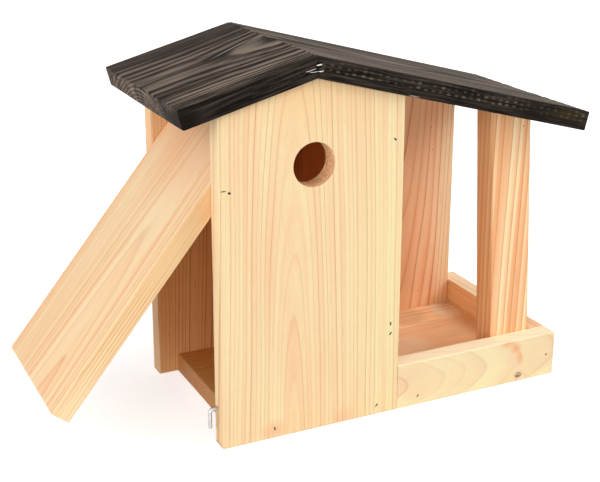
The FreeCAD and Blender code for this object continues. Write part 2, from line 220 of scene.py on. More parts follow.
def holed_skin(outline, hole, radius, low_y, seed, torn=0.0):
    """Skin of an upright board with a round hole, as one grid closed both ways. Angle u goes round the hole. Along v
    the section runs from the hole's rim over the front to the outline, across the edge, over the back to the rim and
    through the bore. The outline at angle u, moved in by e, is the nearest of its sides: the least of
    (distance - e) / (normal . direction). The arris wanders as noise does on a circle round the hole, and the bore's
    wall by up to torn mm. The marks are end_grain, on edges that cut the upright grain, and bore."""
    outline, hole = np.array(outline, float), np.array(hole, float)
    spokes = outline - hole
    corner_angles = np.arctan2(spokes[:, 1], spokes[:, 0])
    fan = np.concatenate([corner_angles + turn for turn in (-0.012, -0.004, 0.0, 0.004, 0.012)])
    u = np.unique(np.mod(np.concatenate([np.linspace(0, 2 * np.pi, 361)[:-1], fan]), 2 * np.pi))[::-1]
    direction = np.stack([np.cos(u), np.sin(u)], -1)
    sides = np.roll(outline, -1, axis=0) - outline
    normals = np.stack([sides[:, 1], -sides[:, 0]], -1) / np.linalg.norm(sides, axis=1, keepdims=True)
    distances = np.sum(normals * spokes, axis=1)
    facing = direction @ normals.T

    def to_sides(inset):
        return np.where(facing > 1e-6, (distances - inset[:, None]) / np.maximum(facing, 1e-6), np.inf)

    def reach(inset):
        return to_sides(inset).min(axis=1)

    noise_radius = 70.0
    circle = hole + noise_radius * direction
    around = np.stack([circle[:, 0], 0 * u, circle[:, 1]], -1)
    wide = ARRIS * (0.7 + 0.5 * wander(around / 17.0, seed) + ramp(wander(around / 6.0, seed + 1), *NICK))

    # Each row of the section: distance from the hole's middle, and depth from the front
    arc = np.linspace(0, np.pi / 2, 6)
    face = np.concatenate([[0.01, 0.03], np.linspace(0.06, 0.94, 23), [0.97, 0.99]])
    rim = ARRIS / 2
    start, stop = radius + rim, reach(wide)
    front = [(radius + rim * (1 - np.cos(k)) + 0 * u, rim * (1 - np.sin(k)) + 0 * u) for k in arc]
    front += [(start + (stop - start) * k, 0 * u) for k in face]
    front += [(reach(wide * (1 - np.sin(k))), wide * (1 - np.cos(k))) for k in arc]
    edge = [(reach(0 * u), depth + 0 * u) for depth in np.linspace(2 * ARRIS, BOARD - 2 * ARRIS, 5)]
    back = [(far, BOARD - depth) for far, depth in front[::-1]]
    bore = []
    for depth in np.linspace(BOARD - 1.2, 1.2, 22):
        wall = np.stack([np.cos(u) * radius, 0 * u + depth, np.sin(u) * radius], -1) / 0.8
        bore.append((radius + torn * wander(wall, seed + 2), depth + 0 * u))
    far, depth = np.array(front + edge + back + bore).transpose(1, 2, 0)
    kind = np.repeat(["face", "edge", "face", "bore"], [len(front), len(edge), len(back), len(bore)])
    end_grain = np.abs(normals[to_sides(0 * u).argmin(axis=1), 1])[:, None] * (kind == "edge")
    bored = (kind == "bore") + 0 * far
    x, z = (hole[k] + far * direction[:, k, None] for k in (0, 1))
    return stitch([np.stack([x, low_y + depth, z, end_grain, bored], -1)], closed_u=True, closed_v=True)


def sweep(path, across, thick, up, sides):
    """Skin of a wire or strand: an ellipse with half axes across and thick carried along a path. Its frame at each
    point is the path's tangent, a side square to it and to up, and the third direction. Ends close where both are 0."""
    path = np.array(path, float)
    tangent = np.gradient(path, axis=0)
    tangent /= np.linalg.norm(tangent, axis=1, keepdims=True)
    side = np.cross(np.array(up, float), tangent)
    side /= np.linalg.norm(side, axis=1, keepdims=True)
    rise = np.cross(tangent, side)
    angle = np.linspace(0, 2 * np.pi, sides, endpoint=False)
    across, thick = (np.broadcast_to(np.atleast_2d(half).T, (len(path), sides)) for half in (across, thick))
    ring = (across * np.cos(angle))[..., None] * side[:, None] + (thick * np.sin(angle))[..., None] * rise[:, None]
    return path[:, None] + ring


def nail_skin(places, inward, along, long_half, short_half, length, proud):
    """Skin of nails driven at places on a face: a profile of a low domed head, a shank and a point is carried round an
    axis along inward. The head is an ellipse whose long axis is turned by each nail's own angle, and the shank is
    round."""
    inward, along = np.array(inward, float), np.array(along, float)
    radius = np.array([0, 0.35, 0.7, 0.92, 1.0, 1.0, 0.9, 0.62, 0.6, 0.6, 0])
    depth = np.array([-0.22, -0.2, -0.14, -0.05, 0.05, 0.25, 0.4, 0.5, 3.0, length - 3.0, length]) + 0.2 - proud
    angle = np.linspace(0, 2 * np.pi, 14, endpoint=False)
    long_radius = radius * (long_half + (short_half - long_half) * ramp(depth, 0.3, 0.8))
    grids = []
    for *place, turn in places:
        first = np.cos(turn) * along + np.sin(turn) * np.cross(inward, along)
        second = np.cross(inward, first)
        ring = np.multiply.outer(np.outer(long_radius, np.cos(angle)), first)
        ring = ring + np.multiply.outer(np.outer(radius * short_half, np.sin(angle)), second)
        grids.append(np.array(place) + depth[:, None, None] * inward + ring)
    return stitch(grids, closed_v=True)


def linear(colour):
    """An sRGB hex colour as linear red, green, blue and alpha."""
    parts = [int(colour[k:k + 2], 16) / 255 for k in (1, 3, 5)]
    return [c / 12.92 if c <= 0.04045 else ((c + 0.055) / 1.055) ** 2.4 for c in parts] + [1.0]


def add(tree, kind, inputs=None, out=0, **settings):
    """Adds a shader node with its settings, gives each input its value or link, and returns one output."""
    made = tree.nodes.new("ShaderNode" + kind)
    for key, value in settings.items():
        setattr(made, key, value)
    for key, value in (inputs or {}).items():
        if isinstance(value, bpy.types.NodeSocket):
            tree.links.new(value, made.inputs[key])
        else:
            made.inputs[key].default_value = value
    return made.outputs[out] if made.outputs else made


def new_material(name):
    """An empty node material, its node tree, and the node output that gives a place on the piece in mm."""
    material = bpy.data.materials.new(name)
    material.use_nodes = True
    tree = material.node_tree
    tree.nodes.clear()
    place = add(tree, "TexCoord", out="Object")
    return material, tree, add(tree, "VectorMath", {0: place, "Scale": 1 / MM}, operation="SCALE")


def seen_directly(tree):
    """1 for rays from the camera and for mirrored or transmitted rays, else 0."""
    camera_ray, glossy_ray, through_ray = (
        add(tree, "LightPath", out=kind) for kind in ("Is Camera Ray", "Is Glossy Ray", "Is Transmission Ray"))
    mirrored = add(tree, "Math", {0: glossy_ray, 1: through_ray}, operation="MAXIMUM")
    return add(tree, "Math", {0: camera_ray, 1: mirrored}, operation="MAXIMUM")


def stain(tree, place, colour, centre, half, tint, amount, hard=0.0, turn=(0.0, 0.0, 0.0)):
    """Tints a colour inside an ellipsoid in mm, fully within the share hard of its radius and fading to its rim. It
    paints real stains, and also painted light and shade.
    """
    inside = add(tree, "Mapping", {"Vector": place, "Location": centre, "Rotation": turn, "Scale": half}, **CENTRED)
    from_centre = add(tree, "VectorMath", {0: inside}, "Value", operation="LENGTH")
    strength = add(tree, "MapRange", {0: from_centre, 1: hard, 2: 1.0, 3: amount, 4: 0.0}, **SMOOTH)
    return add(tree, "Mix", {0: strength, 6: colour, 7: linear(tint)}, 2, **COLOUR)


def face_tint(place, out, tint, amount, turn=(0.0, 0.0, 0.0)):
    """Tint over one flat face, mostly for painted light and shade on that face: a wide lens 7 mm deep whose middle
    floats 6 mm off the face, on the side out.
    """
    lens = np.where(np.array(out), 7.0, 400.0)
    return place + 6.0 * np.array(out), lens, tint, amount, 0.86, turn


def one_year(tree, number, seed):
    """How far a ring number is through its year, from 0 to 1, and a chance from 0 to 1 that is the year's own."""
    whole = add(tree, "Math", {0: number}, operation="FLOOR")
    part = add(tree, "Math", {0: number}, operation="FRACT")
    year_seed = add(tree, "Math", {0: whole, 1: seed}, operation="ADD")
    return part, add(tree, "TexWhiteNoise", {"W": year_seed}, noise_dimensions="1D")


def pine(name, pith, grain, ring, pale, warm, late, seed, contrast=0.6, early=0.5, blush=0.5, bend=3.0, uneven=2.2,
         faint=0.2, first=0.0, oval=1.0, tip=0.5, soft=0.06, ducts=0.35, stains_and_painted_light=(), knot=None):
    """Planed pine, left bare: each year turns from pale spring wood to warmer wood and ends in a thin darker line, with
    fine fibres along the grain. Rings lie round a pith line through the point pith, in mm, along grain, are ring mm
    wide and sway by bend mm. A year warms from the share early on, as far as blush says, and its line has the strength
    contrast. Uneven years stray by that many rings, the faintest has the strength faint, first moves the whole count of
    years, and oval flattens the rings. Lines weaken to the share tip in the middle of an arch and fade out over the
    share soft of a year. Resin ducts have the strength ducts. A knot is given by its middle and its radius."""
    material, tree, in_mm = new_material("planed_pine_" + name)
    turn = Vector(grain).to_track_quat("Z", "Y").to_euler()
    log = add(tree, "Mapping", {"Vector": in_mm, "Location": pith, "Rotation": turn}, **CENTRED)

    # Rings wander with the trunk over about 50 mm across and 500 mm along
    trunk = add(tree, "VectorMath", {0: log, 1: (1, 1, 0.1)}, operation="MULTIPLY")
    sway = add(tree, "TexNoise", {"Vector": trunk, "W": seed, "Scale": 1 / 50, "Detail": 2.0}, "Color",
               noise_dimensions="4D")
    shift = add(tree, "VectorMath", {0: sway, 1: [4 * bend] * 3, 2: [-2 * bend] * 3}, operation="MULTIPLY_ADD")
    swayed = add(tree, "VectorMath", {0: log, 1: shift}, operation="ADD")
    flat = add(tree, "VectorMath", {0: swayed, 1: (1, oval, 0)}, operation="MULTIPLY")
    radius = add(tree, "VectorMath", {0: flat}, "Value", operation="LENGTH")

    # Grain flows round a knot, whose outline wavers
    if knot:
        eye = add(tree, "Mapping", {"Vector": in_mm, "Location": knot[:3], "Scale": [knot[3]] * 3}, **CENTRED)
        waver = add(tree, "TexNoise", {"Vector": eye, "Scale": 1.4, "Detail": 2.0}, "Color")
        eye_bent = add(tree, "VectorMath", {0: waver, 1: [1.1] * 3, 2: eye}, operation="MULTIPLY_ADD")
        eye_flat = add(tree, "VectorMath", {0: eye_bent, 1: (0.75, 0.0, 1.0), 2: (-0.4, 0.0, -0.55)},
                       operation="MULTIPLY_ADD")
        eye_from = add(tree, "VectorMath", {0: eye_flat}, "Value", operation="LENGTH")
        swell = add(tree, "MapRange", {0: eye_from, 1: 0.4, 2: 3.6, 3: 0.7 * ring, 4: 0.0}, **SMOOTH)
        radius = add(tree, "Math", {0: radius, 1: swell}, operation="ADD")

    # Wide and narrow years: the ring number runs ahead or behind
    years = add(tree, "Math", {0: radius, 1: 1 / ring}, operation="MULTIPLY")
    slow_years = add(tree, "Math", {0: years, 1: 0.28}, operation="MULTIPLY")
    weather = add(tree, "TexNoise", {"W": slow_years, "Scale": 1.0, "Detail": 1.0}, noise_dimensions="1D")
    count = add(tree, "Math", {0: weather, 1: uneven, 2: years}, operation="MULTIPLY_ADD")
    number = add(tree, "Math", {0: count, 1: first}, operation="ADD")
    part, luck = one_year(tree, number, seed * 3.7)
    dark_year = add(tree, "Math", {0: luck, 1: 1.5}, operation="POWER")
    strength = add(tree, "MapRange", {0: dark_year, 3: faint, 4: 1.0})
    ripening = add(tree, "MapRange", {0: part, 1: early, 2: 0.92}, **SMOOTH)
    last = add(tree, "MapRange", {0: part, 1: 0.8, 2: 0.93}, **SMOOTH)
    fall = add(tree, "MapRange", {0: part, 1: 1.0 - soft, 2: 1.0, 3: strength, 4: 0.0}, **SMOOTH)
    ripe = add(tree, "Math", {0: ripening, 1: fall}, operation="MULTIPLY")
    line = add(tree, "Math", {0: last, 1: fall}, operation="MULTIPLY")
    across = add(tree, "SeparateXYZ", {0: flat}, 0)
    off_axis = add(tree, "Math", {0: across}, operation="ABSOLUTE")
    bold = add(tree, "MapRange", {0: off_axis, 1: 3.0, 2: 16.0, 3: tip * contrast, 4: contrast})

    # Pinker bands a few years wide, and soft patches about 40 mm across
    bands = add(tree, "TexNoise", {"W": years, "Scale": 0.6, "Detail": 1.0}, noise_dimensions="1D")
    patches = add(tree, "TexNoise", {"Vector": trunk, "W": seed + 5.0, "Scale": 1 / 22, "Detail": 2.0},
                  noise_dimensions="4D")
    blushing = add(tree, "Math", {0: bands, 1: patches}, operation="ADD")
    tinted = add(tree, "MapRange", {0: blushing, 1: 0.7, 2: 1.35, 4: 0.8}, **SMOOTH)
    warmth = add(tree, "Math", {0: ripe, 1: blush, 2: tinted}, operation="MULTIPLY_ADD", use_clamp=True)

    # Fibres about 0.6 mm apart, 20 times as long, and short resin ducts
    strands = add(tree, "VectorMath", {0: log, 1: (1, 1, 0.05)}, operation="MULTIPLY")
    fibre = add(tree, "TexNoise", {"Vector": strands, "W": seed, "Scale": 1 / 0.6, "Detail": 2.0},
                noise_dimensions="4D")
    duct_noise = add(tree, "TexNoise", {"Vector": strands, "W": seed + 9.0, "Scale": 1 / 1.1, "Detail": 0.0},
                     noise_dimensions="4D")
    duct = add(tree, "MapRange", {0: duct_noise, 1: 0.74, 2: 0.8, 3: 0.0, 4: ducts})

    ground = add(tree, "Mix", {0: warmth, 6: linear(pale), 7: linear(warm)}, 2, **COLOUR)
    lined = add(tree, "Math", {0: line, 1: bold}, operation="MULTIPLY")
    for spot in stains_and_painted_light:
        ground = stain(tree, in_mm, ground, *spot)
    ringed = add(tree, "Mix", {0: lined, 6: ground, 7: linear(late)}, 2, **COLOUR)
    ducted = add(tree, "Mix", {0: duct, 6: ringed, 7: linear(late)}, 2, **COLOUR)
    fibre_tone = add(tree, "MapRange", {0: fibre, 1: 0.25, 2: 0.75, 3: 0.95, 4: 1.03})
    colour = add(tree, "VectorMath", {0: ducted, "Scale": fibre_tone}, operation="SCALE")

    # A dark knot, paler in its heart
    if knot:
        heart = add(tree, "MapRange", {0: eye_from, 1: 0.65, 2: 1.2, 3: 0.85, 4: 0.0}, **SMOOTH)
        eye_noise = add(tree, "TexNoise", {"Vector": eye, "Scale": 0.9, "Detail": 2.0})
        eye_tone = add(tree, "MapRange", {0: eye_noise, 1: 0.38, 2: 0.55}, **SMOOTH)
        eye_colour = add(tree, "Mix", {0: eye_tone, 6: linear("#cfa98c"), 7: linear("#7d5a48")}, 2, **COLOUR)
        colour = add(tree, "Mix", {0: heart, 6: colour, 7: eye_colour}, 2, **COLOUR)

    # Sawn ends drink in more light, and a drilled bore has torn pale fibres
    sawn, bored = (add(tree, "Attribute", out="Fac", attribute_name=mark) for mark in PINE_MARKS)
    sawn_tone = add(tree, "MapRange", {0: sawn, 3: 1.0, 4: 0.8})
    toned = add(tree, "VectorMath", {0: colour, "Scale": sawn_tone}, operation="SCALE")
    fluff = add(tree, "TexNoise", {"Vector": log, "Scale": 1 / 1.3, "Detail": 3.0})
    fluff_tone = add(tree, "MapRange", {0: fluff, 1: 0.35, 2: 0.65})
    fluff_colour = add(tree, "Mix", {0: fluff_tone, 6: linear("#d6925e"), 7: linear("#f8d3aa")}, 2, **COLOUR)
    finished = add(tree, "Mix", {0: bored, 6: toned, 7: fluff_colour}, 2, **COLOUR)

    rough = add(tree, "MapRange", {0: fibre, 1: 0.25, 2: 0.75, 3: 0.52, 4: 0.68})
    grain_height = add(tree, "Math", {0: line, 1: 0.8, 2: fibre}, operation="MULTIPLY_ADD")
    bump = add(tree, "Bump", {"Height": grain_height, "Strength": 0.35, "Distance": 0.12 * MM})
    shader = add(tree, "BsdfPrincipled", {
        "Base Color": finished, "Roughness": rough, "IOR": 1.5, "Specular IOR Level": 0.3, "Normal": bump,
    })
    add(tree, "OutputMaterial", {"Surface": shader})
    return material


def stained_pine(name, turn, seed, speck_length, speck_tone, stains_and_painted_light=()):
    """Brushed pine under a thin black-brown stain: the hard summer wood stands proud and shows grey-brown where the
    stain is rubbed thin, a grey that also stands for painted sheen on the top; the soft wood beside it is near black,
    and sawn edges are black with rows of brown specks."""
    material, tree, in_mm = new_material(name)
    slope = add(tree, "Mapping", {"Vector": in_mm, "Location": (RIDGE_X, 0.0, RIDGE_Z), "Rotation": (0.0, turn, 0.0)},
                **CENTRED)
    sawn, years, rubbed, edge = (add(tree, "Attribute", out="Fac", attribute_name=mark) for mark in ROOF_MARKS)
    part, luck = one_year(tree, years, seed)
    strength = add(tree, "MapRange", {0: luck, 3: 0.4, 4: 1.0})
    rise = add(tree, "MapRange", {0: part, 1: 0.1, 2: 0.65}, **SMOOTH)
    fall = add(tree, "MapRange", {0: part, 1: 0.74, 2: 1.0, 3: strength, 4: 0.0}, **SMOOTH)
    ribbed = add(tree, "Math", {0: rise, 1: fall}, operation="MULTIPLY")

    # Rings show less on the sawn ends
    evened = add(tree, "Math", {0: sawn, 1: 0.35}, operation="MULTIPLY")
    proud = add(tree, "Mix", {0: evened, 2: ribbed, 3: 0.5})

    # Brush streaks about 1.2 mm wide and 30 mm long, in clouds 9 mm wide
    drawn = add(tree, "VectorMath", {0: slope, 1: (0.04, 1.0, 1.0)}, operation="MULTIPLY")
    streak = add(tree, "TexNoise", {"Vector": drawn, "Scale": 1 / 1.2, "Detail": 3.0, "Roughness": 0.6})
    cloud = add(tree, "TexNoise", {"Vector": drawn, "Scale": 1 / 9.0, "Detail": 2.0})
    worn = add(tree, "Math", {0: proud, 1: rubbed}, operation="MULTIPLY")
    worn_streak = add(tree, "Math", {0: streak, 1: 1.5, 2: worn}, operation="MULTIPLY_ADD")
    worn_cloud = add(tree, "Math", {0: cloud, 1: 0.8, 2: worn_streak}, operation="MULTIPLY_ADD")
    # Grey on the top: rubbed stain, and painted sheen
    bare = add(tree, "MapRange", {0: worn_cloud, 1: 1.05, 2: 1.95}, **SMOOTH)
    top = add(tree, "Mix", {0: bare, 6: linear("#140b06"), 7: linear("#8e7e70")}, 2, **COLOUR)

    # Sawn edges: fine brown streaks, and rows of specks 3.5 mm apart where the saw's teeth bit
    edge_tone = add(tree, "MapRange", {0: streak, 1: 0.4, 2: 0.7})
    side = add(tree, "Mix", {0: edge_tone, 6: linear("#110e0c"), 7: linear("#423a33")}, 2, **COLOUR)
    high = add(tree, "SeparateXYZ", {0: slope}, 2)
    cells = add(tree, "Mapping", {"Vector": slope, "Location": (0.0, 0.0, 6.35), "Scale": (speck_length, 1e6, 3.5)},
                **CENTRED)
    bite, chance = (add(tree, "TexVoronoi", {"Vector": cells, "Scale": 1.0, "Randomness": 0.3}, out)
                    for out in ("Distance", "Color"))
    bold = add(tree, "MapRange", {0: chance, 1: 0.1, 2: 0.6, 3: 0.0, 4: speck_tone})
    spot = add(tree, "MapRange", {0: bite, 1: 0.1, 2: 0.42, 3: bold, 4: 0.0}, **SMOOTH)
    upper = add(tree, "MapRange", {0: high, 1: 5.0, 2: 7.5}, **SMOOTH)
    below_top = add(tree, "MapRange", {0: high, 1: 12.5, 2: 14.0, 3: upper, 4: 0.0}, **SMOOTH)
    patchy = add(tree, "MapRange", {0: cloud, 1: 0.35, 2: 0.6, 3: 0.3, 4: 1.0})
    in_rows = add(tree, "Math", {0: spot, 1: below_top}, operation="MULTIPLY")
    speck = add(tree, "Math", {0: in_rows, 1: patchy}, operation="MULTIPLY")
    specked = add(tree, "Mix", {0: speck, 6: side, 7: linear("#8d7d6d")}, 2, **COLOUR)
    colour = add(tree, "Mix", {0: edge, 6: top, 7: specked}, 2, **COLOUR)
    for patch in stains_and_painted_light:
        colour = stain(tree, slope, colour, *patch)

    rough = add(tree, "MapRange", {0: streak, 1: 0.3, 2: 0.7, 3: 0.55, 4: 0.75})
    bump = add(tree, "Bump", {"Height": worn_streak, "Strength": 0.5, "Distance": 0.35 * MM})
    shader = add(tree, "BsdfPrincipled", {
        "Base Color": colour, "Roughness": rough, "IOR": 1.45, "Specular IOR Level": 0.04, "Normal": bump,
    })
    add(tree, "OutputMaterial", {"Surface": shader})
    return material


def cloudy(name, dark, light, grit):
    """Start of a material whose colour clouds from dark to light over grains grit mm across."""
    material, tree, in_mm = new_material(name)
    cloud = add(tree, "TexNoise", {"Vector": in_mm, "Scale": 1 / grit, "Detail": 3.0})
    tone = add(tree, "MapRange", {0: cloud, 1: 0.3, 2: 0.7})
    colour = add(tree, "Mix", {0: tone, 6: linear(dark), 7: linear(light)}, 2, **COLOUR)
    return material, tree, cloud, colour


def paint_and_glint(name, dark, light, roughness, shine, grit):
    """Thick paint, and pale strands that are painted glints: a cloudy skin that catches as much light as shine says."""
    material, tree, _, colour = cloudy(name, dark, light, grit)
    shader = add(tree, "BsdfPrincipled", {"Base Color": colour, "Roughness": roughness, "Specular IOR Level": shine})
    add(tree, "OutputMaterial", {"Surface": shader})
    return material


def steel(name, dark, light, roughness, grit):
    """Drawn steel wire: grey metal with a cloudy skin of zinc or dull oxide, rougher where it is darker."""
    material, tree, cloud, colour = cloudy(name, dark, light, grit)
    rough = add(tree, "MapRange", {0: cloud, 1: 0.3, 2: 0.7, 3: roughness + 0.1, 4: roughness - 0.05})
    bump = add(tree, "Bump", {"Height": cloud, "Strength": 0.2, "Distance": 0.1 * MM})
    shader = add(tree, "BsdfPrincipled", {"Base Color": colour, "Metallic": 1.0, "Roughness": rough, "Normal": bump})
    add(tree, "OutputMaterial", {"Surface": shader})
    return material


def roof_grain(pith_y, depth_at, ring, first, wear, ridge_last, seed):
    """Relief of a brushed roof board. Its rings lie round a pith line far under the board at pith_y, depth_at(s) mm
    below the top face. The ring number is first + (hypot(y - pith_y, depth) - depth_at(0)) / ring, with some noise for
    wide and narrow years. The skin sinks by up to 0.34 mm between rings, as (1 + cos(2 pi number)) / 2, less where the
    rings lie close, at the board's back and on the sawn eave, hardly on the edges and not at all low down or at the
    ridge, which lies where s is greatest if ridge_last. Stain is rubbed off in patches and short streaks, as strongly
    as wear says. The marks are the ring number, the rubbing, and edge, which is 0 on the top, underside and eave."""

    def relief(skin, size):
        s, y, height = np.moveaxis(skin, -1, 0)
        y = y - size[1] / 2
        sway = 4.0 * (wander(np.stack([s / 70, y / 30, height / 30], -1), seed) - 0.5)
        sway = sway + 1.2 * (wander(np.stack([s / 18, y / 8, height / 8], -1), seed + 1) - 0.5)
        r = np.hypot(y - pith_y + sway, depth_at(s) - size[2] + height)
        count = first + (r - depth_at(0.0)) / ring
        years = count + 1.5 * wander(np.stack([count / 4, 0 * r, 0 * r], -1), seed + 3)
        inboard = ramp(np.minimum(y + size[1] / 2, size[1] / 2 - y), 0.3, 2.0)
        top = ramp(height, size[2] - 2.0, size[2] - 0.6) * inboard
        under = ramp(-height, -1.5, -0.4) * inboard
        from_ridge = size[0] - s if ridge_last else s
        eave = ramp(from_ridge, size[0] - 1.0, size[0] - 0.2) * inboard
        broad = np.maximum(np.maximum(top, under), eave)
        patch, tract, streak = (
            wander(np.stack([s / long, y / wide, 0 * s + 0.5], -1), seed + k)
            for long, wide, k in ((40, 9, 2), (150, 20, 4), (13, 2.6, 5)))
        behind = ramp(y - pith_y, 40.0, 70.0)
        rubbed = wear * (0.26 + 0.5 * ramp(patch + tract, 0.4, 1.4) + 0.4 * streak) * (1.0 - 0.5 * behind)
        rubbed = np.maximum(rubbed, 0.6 * eave)
        brushed = 0.06 + 0.94 * np.maximum(top, 0.3 * eave)
        brushed = brushed * (1.0 - 0.5 * ramp(np.abs(y - pith_y), 25.0, 60.0)) * (1.0 - 0.7 * behind)
        faded = ramp(height, 1.0, 6.0) * ramp(from_ridge, 0.5, 5.0)
        sunk = 0.17 * (1 + np.cos(2 * np.pi * (years - 0.65))) * brushed * faded
        return sunk, [years, rubbed, 1 - broad]

    return relief


# Bare pine boards: each was cut from its own place in a log. Their colours also carry painted light and shade: the
# feeder back, floor boards and side rail are paler, and the front panel and front rail darker.
outer = np.array([-math.cos(DOOR_OPEN), 0.0, math.sin(DOOR_OPEN)])
climb = np.array([math.sin(DOOR_OPEN), 0.0, math.cos(DOOR_OPEN)])
hinge = np.array([HINGE_X, 0.0, HINGE_Z])
door_foot, door_head = hinge - DOOR_BELOW * climb, hinge + DOOR_ABOVE * climb
door_edge = hinge - np.array([0.0, DOOR_HALF, 0.0])
door_turn = (0.0, DOOR_OPEN, 0.0)

panel_pine = pine(
    "front_panel", (-87.5, -80.0, 0.0), (0.0, -0.073, 1.0), 3.2, "#f0daaa", "#eec195", "#a5774a", 1.0, contrast=0.8,
    early=0.55, blush=0.45, uneven=1.0, first=-0.92, tip=0.12, soft=0.12, ducts=0.1, stains_and_painted_light=[
        ((-14.0, FRONT, 110.0), (42.0, 30.0, 190.0), "#f1e2ab", 0.6),
        # Painted shade under the roof: the top of the panel by the ridge is warmer and darker
        ((RIDGE_X, FRONT, 262.0), (90.0, 20.0, 55.0), "#f0c48c", 0.5),
        ((-104.0, FRONT, 6.0), (16.0, 8.0, 12.0), "#eeac86", 0.6),
        ((-48.0, FRONT, 5.0), (14.0, 8.0, 11.0), "#eeb28c", 0.5),
        ((-140.2, FRONT, 191.8), (2.6, 2.0, 0.6), "#5f564d", 0.95, 0.6),
    ])
door_pine = pine(
    "door", door_foot + 77.5 * outer - 22.0 * np.array(NORTH), climb + 0.018 * outer, 2.6, "#ffe2b4", "#fac493",
    "#b07a45", 2.0, contrast=0.55, early=0.4, blush=0.6, uneven=1.0, faint=0.6, first=-0.31, soft=0.15, stains_and_painted_light=[
        # Painted shade: the door's front edge is darker
        face_tint(door_edge, SOUTH, "#e4bd86", 0.6),
        ((-146.0, -DOOR_HALF, 175.0), (15.0, 6.0, 15.0), "#eba070", 0.25),
        (hinge + 30.0 * climb + 7.5 * outer, (5.0, 90.0, 80.0), "#ffbe90", 0.55, 0.3, door_turn),
        *[(door_edge - down * climb + off * outer, (wide, 1.5, 75.0), "#bc7a48", 0.5, 0.3, door_turn)
          for down, off, wide in ((130.0, 4.6, 0.5), (112.0, 2.2, 0.45), (125.0, -0.4, 0.5),
                                  (100.0, -2.9, 0.4), (120.0, -5.0, 0.45))],
    ])
nest_back_pine = pine(
    "nest_back", (-60.0, 110.0, 0.0), (0.0, 0.03, 1.0), 2.6, "#f2cd9e", "#ecba8a", "#6c3c14", 3.0, contrast=0.95,
    faint=0.4, stains_and_painted_light=[
        # Painted shade inside the nest: the inner face is more orange and deep red-brown behind the entrance hole, and
        # paler at its top left
        face_tint((RIDGE_X, INNER_BACK, 125.0), SOUTH, "#f8a656", 0.75),
        ((-50.0, INNER_BACK, 170.0), (46.0, 10.0, 60.0), "#c04a00", 0.85, 0.5),
        ((-140.0, INNER_BACK, 215.0), (14.0, 8.0, 60.0), "#e4b888", 0.75, 0.5),
        face_tint((NEST_LEFT, WALL_MIDDLE, 125.0), WEST, "#ffca97", 0.6),
    ])
feeder_back_pine = pine(
    "feeder_back", (70.3, 117.7, 0.0), (-0.03, -0.07, 1.0), 3.5, "#ffdcb2", "#f2a26c", "#945028", 4.0, blush=0.75,
    faint=0.3, uneven=1.5, ducts=0.15, stains_and_painted_light=[
        # Painted light: the inner face is tinted salmon, as by light bounced round the tray
        face_tint((TRAY_MIDDLE, INNER_BACK, 120.0), SOUTH, "#ffb886", 0.35),
        ((126.0, INNER_BACK, 100.0), (20.0, 10.0, 140.0), "#ffdcae", 0.7, 0.4),
        ((76.0, INNER_BACK, 30.0), (24.0, 10.0, 120.0), "#dc9460", 0.4, 0.3),
        *[((x, INNER_BACK, z), (wide, 1.5, tall), "#5c3a24", amount, 0.3)
          for x, z, wide, tall, amount in (
              (105.2, 178.3, 0.9, 0.8, 0.7), (107.6, 158.5, 0.8, 0.7, 0.7),
              (101.1, 115.2, 0.7, 0.7, 0.6), (97.2, 30.6, 0.7, 0.9, 0.6))],
    ])
divider_pine = pine(
    "divider", (-60.0, 10.0, 0.0), (0.03, 0.0, 1.0), 4.2, "#ecb883", "#e3a168", "#a5683a", 5.0, contrast=0.7,
    # Painted shade inside the nest: the face towards the nest is deep orange
    stains_and_painted_light=[face_tint((DIVIDER_X - BOARD / 2, 0.0, 120.0), WEST, "#e07414", 0.8)])

# Painted shade: the floor boards are darker inside the nest
nest_floor_shade = ((-66.0, 0.0, BOARD), (63.5, 400.0, 6.0), "#d8923f", 0.85, 0.95)
floor_front_pine = pine(
    "floor_front", (0.0, -4.0, -10.0), (1.0, 0.03, 0.0), 4.4, "#ffd4a4", "#fcbe88", "#7a4826", 6.0, tip=0.9, stains_and_painted_light=[
        nest_floor_shade,
        # Painted shade and light: darker behind the post, paler at the front left of the tray, and darker on the left
        # end
        ((96.5, -2.0, BOARD), (13.0, 11.0, 6.0), "#c09474", 0.4),
        ((95.0, 6.0, BOARD), (40.0, 40.0, 6.0), "#e0a06c", 0.5, 0.4),
        ((40.0, -10.0, BOARD), (34.0, 24.0, 6.0), "#ffdfb8", 0.8, 0.5),
        face_tint((FLOOR_END, -16.0, FLOOR_MIDDLE), WEST, "#d08a4a", 0.8),
    ])
floor_rear_pine = pine(
    "floor_rear", (0.0, 90.0, -20.0), (1.0, -0.02, 0.0), 5.0, "#ffd4a4", "#fcbe88", "#7a4826", 7.0, tip=0.9, stains_and_painted_light=[
        nest_floor_shade,
        # Painted shade and light: darker about 75 mm right of the nest, paler near the right end, and darker on the
        # left end
        ((75.0, 47.0, BOARD), (26.0, 24.0, 6.0), "#dcae80", 0.8, 0.5),
        ((118.0, 45.0, BOARD), (18.0, 20.0, 6.0), "#ffe8cc", 0.8, 0.5),
        face_tint((FLOOR_END, 44.0, FLOOR_MIDDLE), WEST, "#d08a4a", 0.8),
    ])
